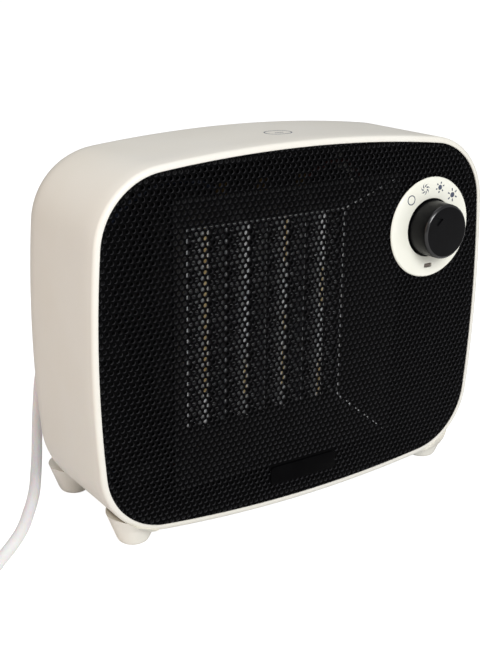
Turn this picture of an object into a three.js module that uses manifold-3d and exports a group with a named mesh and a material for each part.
// Ceramic (PTC) fan heater: a bowed tub casing on four conical feet, a perforated front grille with a
// rotary dial, and behind it the air duct, the ceramic heating element, the fan and the wiring.
// Millimetres, +Z up, the front faces -Y. The heater stands on z = 0, centred on X and Y.
import * as THREE from 'three'
import { mergeVertices } from 'three/addons/utils/BufferGeometryUtils.js'
import Module from 'manifold-3d'

const wasm = await Module()
wasm.setup()

// ---- driving dimensions -------------------------------------------------------------------------
const width = 240
const casingDepth = 90
const casingHeight = 190.4
const knobReach = 13.5 // how far the knob stands out of the casing's front
const footClearance = 1.8 // the casing's lowest point above the table
const gap = 0.3 // play between pieces that touch

const sideRadius = 636 // bow of the left and right sides
const capRadius = 728 // bow of the top and bottom
const cornerRadius = 38.4
const rearRadius = 28 // rounding from the sides into the back
const wall = 2.4
const rimWidth = 3.1 // the casing's front edge around the grille

const front = -(casingDepth + knobReach) / 2 + knobReach
const rear = front + casingDepth
const middle = footClearance + casingHeight / 2 // height of the casing's centre

const grilleFace = front + 0.6
const grilleThickness = 1.5
const coverThickness = 2.6

const dial = { x: 79.8, z: middle + 42.8, radius: 27.1, seatRadius: 15.7 }
const knob = { radius: 14.8, faceRadius: 14.5, chamfer: 1.1, skin: 1.8 }
const detent = 28 // degrees between two positions of the rotary switch
const offAngle = -1.5 * detent // the pointer rests at "off", left of upright
const lampWindow = { width: 5.4, height: 2.4, z: dial.z - 20.8 }
const namePlate = { x: 0.5, z: middle - 78, width: 42, height: 10, thickness: 0.4 }

const element = { x: -7.5, width: 98.4, height: 105.4, depth: 11, face: front + 26.2 }
const strips = { count: 4, pitch: 24.45, width: 3 }
const dividerThickness = 0.8
const elementFrame = { border: 7.5, front: front + 24.3, depth: 16.5 }
const ductMouth = { width: 134, height: 143 }
const ductWall = 1.4

const fan = { radius: 45.5, hubRadius: 14, blades: 7, front: front + 46, depth: 14 }
const shroud = { radius: 47.5, wall: 2.2, front: front + 41.2, depth: 22 }
const motor = { radius: 17.5, front: front + 62, depth: 17 }
const shaftRadius = 1.5

const foot = { x: 95.6, y: 33.4, baseRadius: 7.4, topRadius: 11.4, height: 16 }

const cord = { radius: 3.1, x: -78, z: 80, reliefLength: 24 }
const coil = { x: -215, y: -6, inner: 23.9, outer: 46.7, height: 12.8 }
const plug = { x: -228, y: 62, radius: 18.5, bodyLength: 36, tailLength: 22, pinRadius: 2.4 }

// ---- colours ------------------------------------------------------------------------------------
const ivory = new THREE.MeshStandardMaterial({ color: 0xf1efe8, roughness: 0.38 })
const blackPlastic = new THREE.MeshStandardMaterial({ color: 0x121214, roughness: 0.5 })
const ivoryGloss = new THREE.MeshStandardMaterial({ color: 0xf1f0e6, roughness: 0.25 })
const smokedLens = new THREE.MeshStandardMaterial({ color: 0x6a6056, roughness: 0.15 })
const steel = new THREE.MeshStandardMaterial({ color: 0xb4b6b8, roughness: 0.3, metalness: 1 })
const brass = new THREE.MeshStandardMaterial({ color: 0xc9a75c, roughness: 0.3, metalness: 1 })
const aluminium = new THREE.MeshStandardMaterial({ color: 0xb9bbbd, roughness: 0.4, metalness: 1 })
const ceramic = new THREE.MeshStandardMaterial({ color: 0xcbbfa6, roughness: 0.6 })
const heatPlastic = new THREE.MeshStandardMaterial({ color: 0x2a2a2b, roughness: 0.65 })
const cordVinyl = new THREE.MeshStandardMaterial({ color: 0xe5e4ea, roughness: 0.45 })
const leadRed = new THREE.MeshStandardMaterial({ color: 0xa8322a, roughness: 0.5 })
const leadBlue = new THREE.MeshStandardMaterial({ color: 0x2b4f9e, roughness: 0.5 })

// ---- helpers ------------------------------------------------------------------------------------
const degrees = THREE.MathUtils.degToRad

/** Six times the signed volume inside a triangle mesh; negative when its faces point inwards. */
function signedVolume(position, index) {
  const [a, b, c] = [new THREE.Vector3(), new THREE.Vector3(), new THREE.Vector3()]
  let sum = 0
  for (let i = 0; i < index.length; i += 3) {
    a.fromBufferAttribute(position, index[i])
    b.fromBufferAttribute(position, index[i + 1])
    c.fromBufferAttribute(position, index[i + 2])
    sum += a.dot(b.cross(c))
  }
  return sum
}

/** The geometry as a solid, with shared corners merged, slivers dropped and its faces turned outwards. */
function solid(geometry) {
  const bare = geometry.index ? geometry.clone() : geometry
  bare.deleteAttribute('normal')
  bare.deleteAttribute('uv')
  const merged = mergeVertices(bare, 1e-4)
  const kept = []
  for (let i = 0; i < merged.index.count; i += 3) {
    const corners = [0, 1, 2].map((k) => merged.index.getX(i + k))
    if (new Set(corners).size === 3) kept.push(...corners)
  }
  if (signedVolume(merged.attributes.position, kept) < 0) kept.reverse()
  const mesh = new wasm.Mesh({
    numProp: 3,
    vertProperties: merged.attributes.position.array,
    triVerts: new Uint32Array(kept),
  })
  return new wasm.Manifold(mesh)
}

/** The solid as a three.js geometry. */
function geometryOf(manifold) {
  const { vertProperties, triVerts } = manifold.getMesh()
  const geometry = new THREE.BufferGeometry()
  geometry.setAttribute('position', new THREE.BufferAttribute(vertProperties, 3))
  geometry.setIndex(new THREE.BufferAttribute(triVerts, 1))
  geometry.computeVertexNormals()
  return geometry
}

/** Joins rings of equal length: a tube closed on itself, or a bar capped at both ends. */
function loft(rings, capped = false) {
  const n = rings[0].length
  const index = []
  const spans = capped ? rings.length - 1 : rings.length
  for (let i = 0; i < spans; i++) {
    const next = (i + 1) % rings.length
    for (let k = 0; k < n; k++) {
      const l = (k + 1) % n
      index.push(i * n + k, next * n + k, next * n + l, i * n + k, next * n + l, i * n + l)
    }
  }
  if (capped) {
    const last = (rings.length - 1) * n
    for (let k = 1; k < n - 1; k++) {
      index.push(0, k, k + 1, last, last + k + 1, last + k)
    }
  }
  const geometry = new THREE.BufferGeometry().setFromPoints(rings.flat())
  geometry.setIndex(index)
  return geometry
}

/** A box given by its centre and its size. */
function box(x, y, z, sizeX, sizeY, sizeZ) {
  return new THREE.BoxGeometry(sizeX, sizeY, sizeZ).translate(x, y, z)
}

/** A turned piece whose axis runs front to back; the profile is a list of [radius, y]. */
function turnedY(profile, segments, x = 0, z = 0) {
  const points = profile.map(([r, y]) => new THREE.Vector2(r, y))
  return new THREE.LatheGeometry(points, segments).translate(x, 0, z)
}

/** A turned piece with an upright axis; the profile is a list of [radius, z]. */
function turnedZ(profile, segments, x = 0, y = 0) {
  const points = profile.map(([r, z]) => new THREE.Vector2(r, z))
  return new THREE.LatheGeometry(points, segments).rotateX(Math.PI / 2).translate(x, y, 0)
}

/** A round bar that runs front to back, from one depth to another. */
function barY(radius, from, to, segments, x, z) {
  return turnedY([[0, from], [radius, from], [radius, to], [0, to]], segments, x, z)
}

/** A flat plate in the XZ plane whose front is at y. */
function plate(shape, y, thickness) {
  const geometry = new THREE.ExtrudeGeometry(shape, { depth: thickness, bevelEnabled: false })
  return geometry.rotateX(Math.PI / 2).translate(0, y + thickness, 0)
}

/** A round cable along a smooth curve through the points. */
function cable(points, radius, sides, steps) {
  const circle = new THREE.EllipseCurve(0, 0, radius, radius)
  const section = new THREE.Shape(circle.getPoints(sides).slice(0, -1))
  const places = points.map((p) => new THREE.Vector3(...p))
  const extrudePath = new THREE.CatmullRomCurve3(places, false, 'centripetal')
  return new THREE.ExtrudeGeometry(section, { extrudePath, steps, bevelEnabled: false })
}

const heater = new THREE.Group()

/** Adds one named piece to the heater. */
function piece(name, shape, material) {
  const body = shape instanceof THREE.BufferGeometry ? solid(shape) : shape
  const mesh = new THREE.Mesh(geometryOf(body), material)
  mesh.name = name
  heater.add(mesh)
  return mesh
}

// ---- the casing's outline -----------------------------------------------------------------------
/** Points of an arc in the XZ plane, without its last one. */
function arc(cx, cz, radius, from, to, steps) {
  const curve = new THREE.EllipseCurve(cx, cz, radius, radius, from, to)
  return curve.getPoints(steps).slice(0, -1)
}

/** The casing's front outline, set in evenly: bowed sides, top and bottom, joined by round corners. */
function outline(inset = 0) {
  const sideX = width / 2 - sideRadius
  const capZ = casingHeight / 2 - capRadius
  const [toSide, toCap] = [sideRadius - cornerRadius, capRadius - cornerRadius]
  const apart = Math.hypot(sideX, capZ)
  const along = (toSide ** 2 - toCap ** 2 + apart ** 2) / (2 * apart)
  const across = Math.sqrt(toSide ** 2 - along ** 2)
  const cornerX = sideX - (sideX * along + capZ * across) / apart
  const cornerZ = (capZ * along - sideX * across) / apart
  const fromSide = Math.atan2(cornerZ, cornerX - sideX)
  const fromCap = Math.atan2(cornerZ - capZ, cornerX)
  const quarter = [
    ...arc(sideX, 0, sideRadius - inset, 0, fromSide, 2),
    ...arc(cornerX, cornerZ, cornerRadius - inset, fromSide, fromCap, 6),
    ...arc(0, capZ, capRadius - inset, fromCap, Math.PI / 2, 3),
  ]
  const flipped = (points, signX, signZ) => {
    return points.map((p) => new THREE.Vector2(p.x * signX, p.y * signZ))
  }
  const top = new THREE.Vector2(0, casingHeight / 2 - inset)
  const mirrored = [top, ...flipped(quarter.slice(1).reverse(), -1, 1)]
  const upper = [...quarter, ...mirrored]
  const points = [...upper, ...flipped(upper, -1, -1)]
  return points.map((p) => new THREE.Vector2(p.x, p.y + middle))
}

/** The outline at a depth, as a ring in space. */
const ringAt = ([inset, y]) => outline(inset).map((p) => new THREE.Vector3(p.x, y, p.y))

// ---- casing -------------------------------------------------------------------------------------
const seatLedge = 3 // the ledge that the back cover rests on
const ledgeThickness = 2
const coverInset = rearRadius + 2.6
const seatInset = coverInset + seatLedge
const coverSeat = rear - coverThickness - gap
const seatBack = coverSeat - ledgeThickness
const roundingSteps = [0, 18, 36, 54, 72, 90]

/** Points along the rounding into the back, on a skin set in from the outside. */
function rearRounding(skin, angles) {
  const radius = rearRadius - skin
  return angles.map((a) => [
    rearRadius - radius * Math.cos(degrees(a)),
    rear - rearRadius + radius * Math.sin(degrees(a)),
  ])
}

const grilleSeat = grilleFace + grilleThickness + gap
const casingSection = [
  [1.1, front],
  [0.3, front + 0.35],
  [0, front + 1.2],
  ...rearRounding(0, roundingSteps),
  [coverInset - gap, rear],
  [coverInset - gap, coverSeat],
  [seatInset, coverSeat],
  [seatInset, seatBack],
  ...rearRounding(wall, [66, 33, 0]),
  [wall, grilleSeat + 4],
  [rimWidth + 3, grilleSeat + 1.6],
  [rimWidth + 3, grilleSeat],
  [rimWidth, grilleSeat],
  [rimWidth, front + 0.7],
  [rimWidth - 0.7, front],
]
let casing = solid(loft(casingSection.map(ringAt)))

const screw = { fromSide: 9, fromCap: 8, shank: 1.4, head: 3, length: 12 }
const boss = { radius: 5, bore: 1.75, length: 11 }
const screwX = width / 2 - coverInset - screw.fromSide
const screwZ = casingHeight / 2 - coverInset - screw.fromCap
const corners = [[-1, 1], [1, 1], [-1, -1], [1, -1]]
const screwPlaces = corners.map(([i, k]) => [i * screwX, middle + k * screwZ])
for (const [x, z] of screwPlaces) {
  const post = barY(boss.radius, seatBack - boss.length, coverSeat - 0.01, 14, x, z)
  const bore = barY(boss.bore, seatBack - boss.length + 1, rear, 10, x, z)
  casing = casing.add(solid(post)).subtract(solid(bore))
}
piece('casing_shell', casing, ivory)

// ---- back cover with its intake slots -----------------------------------------------------------
const slot = { height: 3.4, pitch: 7.8, rows: 11, rib: 5, fieldRadius: 53.5 }
const coverFront = rear - coverThickness
let cover = solid(plate(new THREE.Shape(outline(coverInset)), coverFront, coverThickness))
for (let row = 0; row < slot.rows; row++) {
  const dz = (row - (slot.rows - 1) / 2) * slot.pitch
  const reach = Math.sqrt(slot.fieldRadius ** 2 - dz ** 2)
  for (const side of [-1, 1]) {
    const x = element.x + side * (slot.rib + reach) / 2
    const through = 4 * coverThickness
    cover = cover.subtract(solid(box(x, rear, middle + dz, reach - slot.rib, through, slot.height)))
  }
}
const pocketDepth = 1.5
const screwClearance = 0.4
for (const [x, z] of screwPlaces) {
  const hole = barY(screw.shank + screwClearance, coverFront - 1, rear, 16, x, z)
  const pocket = barY(screw.head + 0.6, rear - pocketDepth, rear + 1, 16, x, z)
  cover = cover.subtract(solid(hole)).subtract(solid(pocket))
}
const reliefHoleRadius = 5.4
cover = cover.subtract(solid(barY(reliefHoleRadius, coverFront - 1, rear + 1, 16, cord.x, cord.z)))
piece('rear_cover', cover, ivory)

const headBack = rear - 0.1
const headSeat = rear - pocketDepth + gap
const screwTip = headSeat - screw.length
screwPlaces.forEach(([x, z], i) => {
  const profile = [
    [0, screwTip], [screw.shank - 0.4, screwTip + 1], [screw.shank, screwTip + 2], [screw.shank, headSeat],
    [screw.head, headSeat], [screw.head - 0.2, headBack - 0.3], [1.6, headBack], [0, headBack],
  ]
  piece(`rear_cover_screw_${i + 1}`, turnedY(profile, 12, x, z), steel)
})

// ---- front grille, name plate and dial ----------------------------------------------------------
const neckRadius = 4.6 // the rotary switch's neck, which passes through the grille and the dial
let grille = solid(plate(new THREE.Shape(outline(rimWidth + gap)), grilleFace, grilleThickness))
const neckHole = barY(10, front - 2, front + 6, 20, dial.x, dial.z)
grille = grille.subtract(solid(neckHole))
const lampHole = box(dial.x, front, lampWindow.z, lampWindow.width + 1.6, 12, lampWindow.height + 1.6)
grille = grille.subtract(solid(lampHole))
piece('front_grille', grille, blackPlastic)

const namePlateY = grilleFace - gap - namePlate.thickness / 2
piece(
  'name_plate',
  box(namePlate.x, namePlateY, namePlate.z, namePlate.width, namePlate.thickness, namePlate.height),
  blackPlastic,
)

const dialFace = front - 0.9
const seatFloor = front - 0.2
const dialProfile = [
  [neckRadius + 0.5, grilleFace - gap], [dial.radius - 0.2, grilleFace - gap], [dial.radius, front - 0.2],
  [dial.radius - 0.5, dialFace + 0.1], [dial.radius - 1.1, dialFace], [dial.seatRadius, dialFace],
  [dial.seatRadius, seatFloor], [neckRadius + 0.5, seatFloor], [neckRadius + 0.5, grilleFace - gap],
]
const lampSlot = box(dial.x, front, lampWindow.z, lampWindow.width, 12, lampWindow.height)
piece('dial_bezel', solid(turnedY(dialProfile, 32, dial.x, dial.z)).subtract(solid(lampSlot)), ivoryGloss)

piece(
  'indicator_lens',
  box(dial.x, front + 1.8, lampWindow.z, lampWindow.width - 2 * gap, 5, lampWindow.height - 2 * gap),
  smokedLens,
)
const lampBulb = new THREE.CapsuleGeometry(2.4, 6, 3, 10).rotateZ(Math.PI / 2)
piece('indicator_lamp', lampBulb.translate(dial.x, front + 7.2, lampWindow.z), smokedLens)

const knobFace = front - knobReach
const knobFoot = seatFloor - gap
const switchShaft = { radius: 3, end: front + 15 }
const boreRadius = switchShaft.radius + gap
const boreEnd = knobFace + 4
const knobProfile = [
  [0, knobFace], [knob.faceRadius - knob.chamfer, knobFace], [knob.faceRadius, knobFace + knob.chamfer],
  [knob.radius, knobFoot], [knob.radius - knob.skin, knobFoot], [knob.radius - knob.skin, knobFace + 2.2],
  [6, knobFace + 2.2], [6, knobFoot - 1], [boreRadius, knobFoot - 1], [boreRadius, boreEnd], [0, boreEnd],
]
const pointer = new THREE.Shape([
  new THREE.Vector2(0, 12.4), new THREE.Vector2(-2.6, 7.2), new THREE.Vector2(2.6, 7.2),
])
const notch = plate(pointer, knobFace - 1, 1.6).rotateY(degrees(offAngle)).translate(dial.x, 0, dial.z)
piece('control_knob', solid(turnedY(knobProfile, 28, dial.x, dial.z)).subtract(solid(notch)), blackPlastic)

piece(
  'switch_shaft',
  barY(switchShaft.radius, boreEnd + gap, switchShaft.end, 16, dial.x, dial.z),
  steel,
)

const switchBody = { size: 29, depth: 20, tabPitch: 9, tabLength: 8 }
const switchFront = grilleFace + grilleThickness + gap
const switchRear = switchFront + switchBody.depth
const neck = barY(neckRadius, seatFloor, switchFront + 1, 20, dial.x, dial.z)
const socket = barY(switchShaft.radius + 0.5, front - 4, switchShaft.end + 0.5, 16, dial.x, dial.z)
let rotarySwitch = solid(box(
  dial.x, switchFront + switchBody.depth / 2, dial.z, switchBody.size, switchBody.depth, switchBody.size,
)).add(solid(neck))
for (const i of [-1, 0, 1]) {
  const tab = box(dial.x + i * switchBody.tabPitch, switchRear + 3, dial.z, 0.8, switchBody.tabLength, 6.3)
  rotarySwitch = rotarySwitch.add(solid(tab))
}
piece('rotary_switch', rotarySwitch.subtract(solid(socket)), heatPlastic)

// ---- air duct and heating element ---------------------------------------------------------------
/** A rectangle around the heating element's axis, as a ring at a depth. */
function rectangleAt(y, sizeX, sizeZ) {
  return [[-1, -1], [1, -1], [1, 1], [-1, 1]].map(
    ([i, k]) => new THREE.Vector3(element.x + i * sizeX / 2, y, middle + k * sizeZ / 2),
  )
}
const ductFront = switchFront + 0.4
const ductBack = elementFrame.front - gap
const throat = { width: element.width + 0.8, height: element.height + 0.8 }

/** A rectangular ring with an opening and a wall at each of two depths. */
function rectangularRing(from, opening, to, throatOpening, border) {
  return loft([
    rectangleAt(from, opening.width, opening.height),
    rectangleAt(from, opening.width + 2 * border, opening.height + 2 * border),
    rectangleAt(to, throatOpening.width + 2 * border, throatOpening.height + 2 * border),
    rectangleAt(to, throatOpening.width, throatOpening.height),
  ])
}
piece('air_duct', rectangularRing(ductFront, ductMouth, ductBack, throat, ductWall), heatPlastic)

const frameBack = elementFrame.front + elementFrame.depth
const { border } = elementFrame
piece('ptc_frame', rectangularRing(elementFrame.front, throat, frameBack, throat, border), heatPlastic)

const elementY = element.face + element.depth / 2
const finWidth = (strips.pitch - strips.width - dividerThickness) / 2 - 2 * gap
for (let i = 0; i < strips.count; i++) {
  const x = element.x + (i - (strips.count - 1) / 2) * strips.pitch
  const layer = (at, thickness) => box(at, elementY, middle, thickness, element.depth, element.height)
  piece(`ceramic_strip_${i + 1}`, layer(x, strips.width), ceramic)
  for (const side of [0, 1]) {
    const finX = x + (2 * side - 1) * (strips.width / 2 + gap + finWidth / 2)
    piece(`fin_block_${2 * i + side + 1}`, layer(finX, finWidth), aluminium)
  }
  if (i > 0) piece(`divider_plate_${i}`, layer(x - strips.pitch / 2, dividerThickness), aluminium)
}
const terminal = { width: 6.3, thickness: 0.8, length: 12 }
const frameTop = middle + throat.height / 2 + elementFrame.border
for (let i = 0; i < 3; i++) {
  const x = element.x + (i - 1) * strips.pitch
  const z = frameTop + gap + terminal.length / 2
  piece(
    `ptc_terminal_${i + 1}`,
    box(x, elementY, z, terminal.width, terminal.thickness, terminal.length),
    brass,
  )
}

// ---- thermal protection -------------------------------------------------------------------------
const cutoutZ = frameTop + gap
const cutoutProfile = [
  [0, cutoutZ], [8, cutoutZ], [8, cutoutZ + 4], [6.6, cutoutZ + 4.6], [6.6, cutoutZ + 8], [0, cutoutZ + 8],
]
piece('thermal_cutout', turnedZ(cutoutProfile, 20, element.x - 43, elementY), heatPlastic)
const fuse = new THREE.CapsuleGeometry(2, 9, 3, 10).rotateZ(Math.PI / 2)
piece('thermal_fuse', fuse.translate(element.x + 42, elementY, frameTop + 3), aluminium)

// ---- fan and motor ------------------------------------------------------------------------------
const shroudBack = shroud.front + shroud.depth
const motorBack = motor.front + motor.depth
const flangeSize = [throat.width + 2 * elementFrame.border, throat.height + 2 * elementFrame.border]
const mountRadius = motor.radius + gap
const bellRadius = slot.fieldRadius + 1.5 // the bell mouth guides the air in from the cover's slots
const bellBack = coverFront - gap
const ringProfile = [
  [shroud.radius, shroud.front + 0.5], [shroud.radius + shroud.wall, shroud.front + 0.5],
  [shroud.radius + shroud.wall, shroudBack], [bellRadius + shroud.wall, bellBack], [bellRadius, bellBack],
  [shroud.radius, shroudBack], [shroud.radius, shroud.front + 0.5],
]
const mountProfile = [
  [mountRadius, motorBack - 4], [mountRadius + 2.5, motorBack - 4],
  [mountRadius + 2.5, motorBack], [mountRadius, motorBack], [mountRadius, motorBack - 4],
]
const airway = barY(shroud.radius, shroud.front - 5, shroud.front + 5, 28, element.x, middle)
let fanShroud = solid(box(element.x, shroud.front + 1, middle, flangeSize[0], 2, flangeSize[1]))
fanShroud = fanShroud.subtract(solid(airway))
fanShroud = fanShroud.add(solid(turnedY(ringProfile, 28, element.x, middle)))
fanShroud = fanShroud.add(solid(turnedY(mountProfile, 20, element.x, middle)))
for (const angle of [45, 135, 225, 315]) {
  const innerEnd = mountRadius + 1
  const outerEnd = shroud.radius + shroud.wall
  const spoke = box((innerEnd + outerEnd) / 2, motorBack - 2, 0, outerEnd - innerEnd, 4, 5)
  const post = box(outerEnd - 1, (shroudBack + motorBack) / 2 - 0.5, 0, 2, motorBack - shroudBack + 1, 5)
  for (const part of [spoke, post]) {
    part.rotateY(degrees(angle)).translate(element.x, 0, middle)
    fanShroud = fanShroud.add(solid(part))
  }
}
piece('fan_shroud', fanShroud, heatPlastic)

/** One section of a blade: a thin slat across the flow, turned by its pitch, at a radius. */
function bladeSection(radius) {
  const share = (radius - fan.hubRadius) / (fan.radius - fan.hubRadius)
  const chord = THREE.MathUtils.lerp(13, 24, share)
  const pitch = degrees(THREE.MathUtils.lerp(50, 26, share))
  const thickness = 1.4
  return [[-1, -1], [1, -1], [1, 1], [-1, 1]].map(([i, k]) => {
    const [u, v] = [i * chord / 2, k * thickness / 2]
    return new THREE.Vector3(
      radius,
      u * Math.sin(pitch) + v * Math.cos(pitch),
      u * Math.cos(pitch) - v * Math.sin(pitch),
    )
  })
}
const fanMiddle = fan.front + fan.depth / 2
const fanBack = fan.front + fan.depth
const hubProfile = [
  [0, fan.front], [fan.hubRadius - 2, fan.front], [fan.hubRadius, fan.front + 2], [fan.hubRadius, fanBack],
  [fan.hubRadius - 1.5, fanBack], [fan.hubRadius - 1.5, fan.front + 2.5], [4, fan.front + 2.5],
  [4, fanBack - 1],
  [shaftRadius + gap, fanBack - 1], [shaftRadius + gap, fan.front + 3], [0, fan.front + 3],
]
let impeller = solid(turnedY(hubProfile, 21))
for (let i = 0; i < fan.blades; i++) {
  const radii = [fan.hubRadius - 0.6, 24, 34, fan.radius]
  const blade = loft(radii.map(bladeSection), true).translate(0, fanMiddle, 0)
  impeller = impeller.add(solid(blade.rotateY((i / fan.blades) * 2 * Math.PI)))
}
piece('fan_impeller', impeller.translate([element.x, 0, middle]), blackPlastic)

const shaftStart = fan.front + 3 + gap
piece('motor_shaft', barY(shaftRadius, shaftStart, motorBack - 5, 12, element.x, middle), steel)
const bearingRadius = 5
const shaftHole = shaftRadius + 0.5
const motorProfile = [
  [shaftHole, motor.front], [bearingRadius, motor.front], [bearingRadius, motor.front + 1.5],
  [motor.radius - 1, motor.front + 1.5], [motor.radius, motor.front + 2.5], [motor.radius, motorBack - 0.5],
  [0, motorBack - 0.5], [0, motorBack - 4], [shaftHole, motorBack - 4], [shaftHole, motor.front],
]
piece('motor_body', turnedY(motorProfile, 20, element.x, middle), steel)
const capRadiusBack = 16
const capProfile = [
  [0, motorBack - 0.2], [capRadiusBack, motorBack - 0.2], [capRadiusBack, motorBack + 1],
  [6, motorBack + 2.4], [0, motorBack + 2.4],
]
piece('motor_end_cap', turnedY(capProfile, 20, element.x, middle), heatPlastic)

// ---- wiring -------------------------------------------------------------------------------------
const block = { x: -72, y: 10, z: 18 }
piece('terminal_block', box(block.x, block.y, block.z, 26, 14, 12), heatPlastic)
piece('cord_clamp', box(cord.x, rear - 17, cord.z, 20, 8, 12), heatPlastic)
const leadRadius = 1.2
const switchBack = switchFront + 27 + leadRadius
piece('lead_live', cable([
  [block.x + 14.6, block.y - 3, block.z], [-44, 9, 15], [0, 12, 10], [45, 10, 13], [76, 6, 40],
  [dial.x + 4, 4, 90], [dial.x + 9, switchBack + 5, 120], [dial.x + 9, switchBack + 0.6, dial.z],
], leadRadius, 6, 22), leadRed)
piece('lead_neutral', cable([
  [block.x - 14.6, block.y + 2, block.z], [-96, 14, 30], [-101, 14, 62], [-100, 12, 110], [-90, 6, 150],
  [-66, elementY + 6, 170], [element.x - strips.pitch - 10, elementY, frameTop + 13],
  [element.x - strips.pitch - 4, elementY, frameTop + 9],
], leadRadius, 6, 22), leadBlue)
piece('lead_heater', cable([
  [dial.x - 9, switchBack + 0.6, dial.z], [dial.x - 9, switchBack + 6, 150], [62, 2, 164],
  [45, elementY + 1, 174], [element.x + strips.pitch + 10, elementY, frameTop + 13],
  [element.x + strips.pitch + 4, elementY, frameTop + 9],
], leadRadius, 6, 16), leadRed)

// ---- feet ---------------------------------------------------------------------------------------
const casingSkin = [[-gap, front], ...rearRounding(-gap, roundingSteps)]
const casingBody = solid(loft(casingSkin.map(ringAt), true))
const footSides = [
  ['front_left', -1, -1], ['front_right', 1, -1], ['rear_left', -1, 1], ['rear_right', 1, 1],
]
for (const [name, i, j] of footSides) {
  const profile = [
    [0, 0], [foot.baseRadius - 2.2, 0], [foot.baseRadius - 0.6, 0.9], [foot.baseRadius + 0.3, 2.8],
    [foot.topRadius, foot.height], [foot.topRadius, foot.height + 14], [0, foot.height + 14],
  ]
  const cone = turnedZ(profile, 20, i * foot.x, front + casingDepth / 2 + j * foot.y)
  piece(`foot_${name}`, solid(cone).subtract(casingBody), ivory)
}

// ---- mains cord, stored in a coil beside the heater ----------------------------------------------
const reliefEnd = rear + cord.reliefLength
const reliefProfile = [
  [0, rear - 7], [4.8, rear - 7], [7.4, rear - 6.4], [7.4, rear - coverThickness - gap],
  [5.1, rear - coverThickness - gap], [5.1, rear + gap], [7.2, rear + gap], [7, rear + 2.4],
  [5.4, rear + 3.4], [4, reliefEnd], [0, reliefEnd],
]
piece('cord_gland', turnedY(reliefProfile, 20, cord.x, cord.z), cordVinyl)

const floorZ = cord.radius + gap
const coilSection = [
  [coil.inner, gap], [coil.outer - 2, gap], [coil.outer, gap + 2], [coil.outer, coil.height - 2],
  [coil.outer - 2, coil.height], [coil.inner + 2, coil.height], [coil.inner, coil.height - 2],
  [coil.inner, gap],
]
piece('cord_coil', turnedZ(coilSection, 30, coil.x, coil.y), cordVinyl)

/** The coil's outside with the play around it, filled in, to cut the two free ends of the cord at it. */
const coilBlock = solid(turnedZ(
  [[0, -3], [coil.outer + gap, -3], [coil.outer + gap, 30], [0, 30]], 48, coil.x, coil.y,
))
const mainRun = [
  [cord.x, reliefEnd + gap, cord.z], [cord.x, 78.5, cord.z], [-78.3, 86.6, 78.5], [-79.1, 94.1, 74.2],
  [-80.3, 99.7, 67.4], [-82, 102.7, 59], [-84.6, 102.6, 49.5], [-87.2, 101.2, 40], [-90.6, 97, 27.5],
  [-95, 89.6, 15.2], [-100.6, 78.2, 6.9], [-107.4, 64.2, 3.7], [-119.4, 39.8, floorZ],
  [-130, 22, floorZ], [-140.4, 6.3, floorZ], [-150.6, -5.6, floorZ], [-161.4, -16.4, floorZ],
  [-173.4, -28.4, floorZ], [-186, -38.9, floorZ], [-199, -46.2, floorZ], [-212, -49.4, floorZ],
]
piece('power_cord', solid(cable(mainRun, cord.radius, 8, 50)).subtract(coilBlock), cordVinyl)

const tail = [
  [coil.x - 43.6, coil.y, 9.3], [coil.x - 44.4, 12, 9], [-258.2, 28, 9.6], [-254, 44, 12], [-244, 57, 15.5],
  [plug.x - 4, plug.y, plug.radius + 0.1], [plug.x - 2 * gap, plug.y, plug.radius + 0.1],
]
piece('cord_tail', solid(cable(tail, cord.radius, 8, 12)).subtract(coilBlock), cordVinyl)

const plugProfile = [
  [0, 0], [4.2, 0], [6.5, 6], [8.6, plug.tailLength], [12, plug.tailLength + 5],
  [plug.radius - 0.4, plug.tailLength + 12], [plug.radius, plug.tailLength + 15],
  [plug.radius, plug.tailLength + plug.bodyLength - 1.5],
  [plug.radius - 1.5, plug.tailLength + plug.bodyLength], [0, plug.tailLength + plug.bodyLength],
]
const alongX = (geometry) => geometry.rotateZ(-Math.PI / 2).translate(plug.x, plug.y, plug.radius + 0.1)
piece('plug_body', alongX(turnedY(plugProfile, 22)), cordVinyl)
const pinStart = plug.tailLength + plug.bodyLength + gap
const pinProfile = [
  [0, pinStart], [plug.pinRadius, pinStart], [plug.pinRadius, pinStart + 17.5],
  [plug.pinRadius * 0.6, pinStart + 19], [0, pinStart + 19],
]
for (const [i, dy] of [-9.5, 9.5].entries()) {
  piece(`plug_pin_${i + 1}`, alongX(turnedY(pinProfile, 12)).translate(0, dy, 0), brass)
}

export default heater
